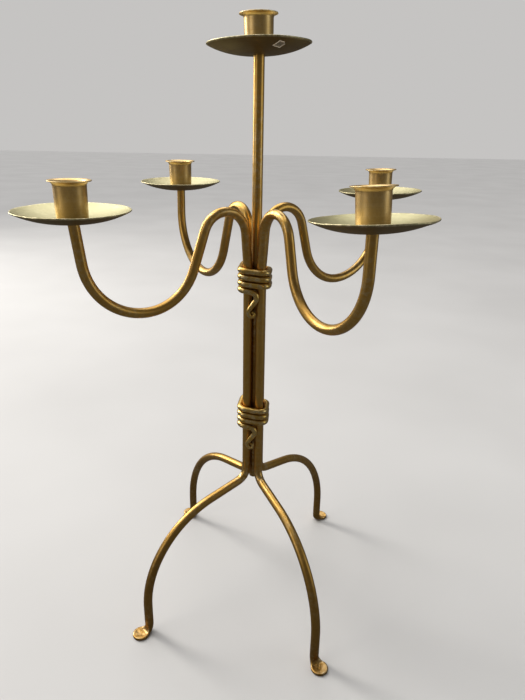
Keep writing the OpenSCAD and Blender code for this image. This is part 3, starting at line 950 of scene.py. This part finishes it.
def binding(name, node, z):
    """Wire wound round the four rods, with a tail that curls up across the front."""
    coil = coil_places(z)
    flat = span_normal(0)
    tail = trace(TAIL_STEPS)
    tail_head = math.radians(TAIL_HEAD)
    c, s = math.cos(tail_head), math.sin(tail_head)
    tail_plane = tail[1:, :2] @ np.array([[c, -s], [s, c]]).T
    share = np.arange(1, len(tail)) / (len(tail) - 1)
    tail_r = WIRE_R + (TIP_R - WIRE_R) * share ** 2
    tail_places = (
        coil[-1]
        + np.outer(tail_plane[:, 0], direction(flat + math.pi / 2))
        + np.outer(tail_plane[:, 1], UP)
        + np.outer(tail_r - WIRE_R, direction(flat))
    )
    dense = []
    for a, b in zip(coil[:-1], coil[1:]):
        pieces = max(1, math.ceil(np.linalg.norm(b - a) / DENSE))
        dense += [a + (b - a) * k / pieces for k in range(pieces)]
    line = np.vstack([dense, coil[-1], tail_places])
    radii = np.concatenate([np.full(len(dense) + 1, WIRE_R), tail_r])
    line = smoothed(line, 3)
    keep = thinned(line, math.radians(7), 2 * MM)
    line, radii = line[keep], radii[keep]
    ahead = np.gradient(line, axis=0)
    ahead /= np.linalg.norm(ahead, axis=1)[:, None]
    outs = line * [1, 1, 0]
    outs[[i for i, q in enumerate(keep) if q > len(dense)]] = direction(flat)
    outs -= (outs * ahead).sum(1)[:, None] * ahead
    outs /= np.linalg.norm(outs, axis=1)[:, None]
    across = np.cross(ahead, outs)
    run = run_along(line)
    a = np.linspace(0, 2 * math.pi, WIRE_SIDES, endpoint=False)
    rings, grains, wears, tarnish_and_shade_rows = [], [], [], []
    for k in range(len(line)):
        x, y = radii[k] * np.cos(a), radii[k] * np.sin(a)
        rings.append(line[k] + np.outer(x, outs[k]) + np.outer(y, across[k]))
        grains.append(np.column_stack([x, y, np.full(WIRE_SIDES, run[k])]))
        wears.append(0.7 * smoothstep(0.2, 1.0, np.cos(a)))
        # Painted shade: the wire darkens on its inner side, against the rods.
        tarnish_and_shade_rows.append(0.05 + 0.8 * smoothstep(-0.5, 0.6, -np.cos(a)))
    obj = loft(name, rings, attributes=surface(grains, wears, tarnish_and_shade_rows))
    return finish_piece(obj, node, wire_brass)


# ---- Label -------------------------------------------------------------------------------

LABEL_T = 0.12 * MM
LABEL_GAP = 0.04 * MM        # under the even form of the pan's underside
LABEL_LIFT = 0.25 * MM       # of the loose corner


def paper():
    """Aged paper, pale along its border and brown inside it."""
    t = Tree("label_paper")
    place = t.add("ShaderNodeTexCoord").outputs["Object"]
    border = t.attribute("border")[1]
    fibre = t.noise(place, 1500, 4, 0.6)
    stain = t.noise(place, 300, 3)
    brown = t.mix(t.ramp(stain, 0.35, 0.7), (0.10, 0.075, 0.04), (0.17, 0.13, 0.08))
    pale = t.mix(t.ramp(fibre, 0.35, 0.7), (0.46, 0.37, 0.26), (0.60, 0.51, 0.38))
    colour = t.mix(border, brown, pale)
    return t.finish(colour, t.ramp(fibre, 0.3, 0.7, 0.6, 0.8), [(fibre, 0.02 * MM)])


def label():
    """Blank square of paper stuck under the top pan, with one corner a little loose."""
    steps = 24
    side = np.linspace(-LABEL_W / 2, LABEL_W / 2, steps + 1)
    u, v = np.meshgrid(side, side, indexing="ij")
    middle = LABEL_OUT * direction(math.radians(LABEL_AZ))
    half = math.sqrt(0.5)
    x = middle[0] + (u - v) * half
    y = middle[1] + (u + v) * half
    r = np.hypot(x, y)
    loose = smoothstep(0.55, 1.0, (u + v) / LABEL_W) * LABEL_LIFT
    top = dish(r, DISH_R + PAN_T) - LABEL_GAP - loose
    near_edge = LABEL_W / 2 - np.maximum(abs(u), abs(v))
    border = 1 - smoothstep(0.75 * MM, 1.0 * MM, near_edge)
    border = border * smoothstep(-0.01 * MM, 0.1 * MM, near_edge + 0.05 * MM)
    count = (steps + 1) ** 2
    verts = np.vstack(
        [
            np.column_stack([x.ravel(), y.ravel(), top.ravel()]),
            np.column_stack([x.ravel(), y.ravel(), top.ravel() - LABEL_T]),
        ]
    )
    grid = np.arange(count).reshape(steps + 1, steps + 1)
    faces = []
    for layer in (0, count):
        for i in range(steps):
            for j in range(steps):
                a, b, c, d = grid[i, j], grid[i + 1, j], grid[i + 1, j + 1], grid[i, j + 1]
                faces.append(tuple(int(q) + layer for q in (a, b, c, d)))
    edge = [*grid[:, 0], *grid[-1, 1:], *grid[-2::-1, -1], *grid[0, -2:0:-1]]
    for a, b in zip(edge, edge[1:] + edge[:1]):
        faces.append((int(a), int(b), int(b) + count, int(a) + count))
    m = np.array(light_matrix("top"))
    verts = verts @ m[:3, :3].T + m[:3, 3]
    obj = new_object("paper_label", verts, faces, {"border": np.tile(border.ravel(), 2)})
    return finish_piece(obj, "pan_label", paper())


# ---- The object --------------------------------------------------------------------------

for number, corner in enumerate(CORNERS):
    bent_rod(corner, 11 + number)
centre_rod()
for number, light in enumerate(LIGHTS):
    pan(light, 21 + number)
    cup(light, 31 + number)
    screw(light, 41 + number)
binding("upper_wire", "upper_binding", UPPER_Z)
binding("lower_wire", "lower_binding", LOWER_Z)
label()

# ---- Floor, light and camera -------------------------------------------------------------

FLOOR_HALF = 12.0

AIM = (0, 0, 0.32)           # middle of the object, where the area lights point
AREA_LIGHTS = {              # place, (width, height), watts, colour
    "window_left": ((-1.9, 1.2, 1.4), (0.6, 2.2), 44, (1.0, 0.97, 0.92)),
    "window_front": ((-1.9, -1.0, 1.1), (0.8, 1.8), 7, (1.0, 0.95, 0.88)),
    "fill_right": ((1.3, -0.3, 0.6), (0.5, 0.9), 1.6, (0.96, 1.0, 0.94)),
}
OVERHEAD_STRENGTH = 2.3
OVERHEAD_SPREAD = 70         # degrees
OVERHEAD_TILT = (-24, -18, 0)
ROOM_LIGHT = (0.60, 0.58, 0.56)
ROOM_STRENGTH = 0.16
BACKDROP = (0.56, 0.55, 0.54)

CAMERA_PLACE = (0, -0.5513, 0.497)
CAMERA_TURN = (20.86, -0.767, 1.05)   # degrees down, round and rolled
CAMERA_LENS = 29.8


def floor():
    """A pale floor that runs out of sight."""
    t = Tree("floor_pale")
    place = t.add("ShaderNodeTexCoord").outputs["Object"]
    weave = t.noise(place, 700, 2)
    broad = t.noise(place, 3, 2)
    colour = t.mix(t.ramp(broad, 0.3, 0.7), (0.62, 0.61, 0.60), (0.67, 0.66, 0.65))
    material = t.finish(colour, t.ramp(weave, 0.3, 0.7, 0.75, 0.9), [(weave, 0.05 * MM)])
    corners = [(FLOOR_HALF * i, FLOOR_HALF * j, 0) for i, j in ((-1, -1), (1, -1), (1, 1), (-1, 1))]
    obj = new_object("pale_floor", corners, [(0, 1, 2, 3)])
    obj.data.materials.append(material)
    obj.visible_glossy = False


def area_light(name, place, size, watts, colour):
    """A soft rectangular light that faces the middle of the object."""
    data = bpy.data.lights.new(name, "AREA")
    data.shape = "RECTANGLE"
    data.size, data.size_y = size
    data.energy = watts
    data.color = colour
    obj = bpy.data.objects.new(name, data)
    bpy.context.scene.collection.objects.link(obj)
    obj.location = place
    obj.rotation_euler = (Vector(AIM) - Vector(place)).to_track_quat("-Z", "Y").to_euler()
    obj.visible_camera = False


def overhead():
    """Broad light from above, a little from behind and the left."""
    data = bpy.data.lights.new("soft_overhead", "SUN")
    data.energy = OVERHEAD_STRENGTH
    data.angle = math.radians(OVERHEAD_SPREAD)
    obj = bpy.data.objects.new("soft_overhead", data)
    bpy.context.scene.collection.objects.link(obj)
    obj.rotation_euler = [math.radians(a) for a in OVERHEAD_TILT]


def room():
    """Grey surroundings: dim where they light the object, pale where they are seen."""
    world = bpy.data.worlds.new("room")
    world.use_nodes = True
    bpy.context.scene.world = world
    nodes, links = world.node_tree.nodes, world.node_tree.links
    lit = nodes["Background"]
    lit.inputs["Color"].default_value = (*ROOM_LIGHT, 1)
    lit.inputs["Strength"].default_value = ROOM_STRENGTH
    seen = nodes.new("ShaderNodeBackground")
    seen.inputs["Color"].default_value = (*BACKDROP, 1)
    seen.inputs["Strength"].default_value = 1.0
    path = nodes.new("ShaderNodeLightPath")
    mix = nodes.new("ShaderNodeMixShader")
    links.new(path.outputs["Is Camera Ray"], mix.inputs[0])
    links.new(lit.outputs[0], mix.inputs[1])
    links.new(seen.outputs[0], mix.inputs[2])
    links.new(mix.outputs[0], nodes["World Output"].inputs["Surface"])


def camera():
    """In front of the object, between its arm pans and top pan in height, looking down a little."""
    pitch, yaw, roll = (math.radians(a) for a in CAMERA_TURN)
    data = bpy.data.cameras.new("camera")
    data.lens = CAMERA_LENS
    obj = bpy.data.objects.new("camera", data)
    bpy.context.scene.collection.objects.link(obj)
    turn = Matrix.Rotation(yaw, 4, "Z") @ Matrix.Rotation(math.pi / 2 - pitch, 4, "X")
    turn = Matrix.Translation(CAMERA_PLACE) @ turn
    obj.matrix_world = turn @ Matrix.Rotation(roll, 4, "Z")
    bpy.context.scene.camera = obj


floor()
for name, settings in AREA_LIGHTS.items():
    area_light(name, *settings)
overhead()
room()
camera()
bpy.context.scene.view_settings.view_transform = "Standard"
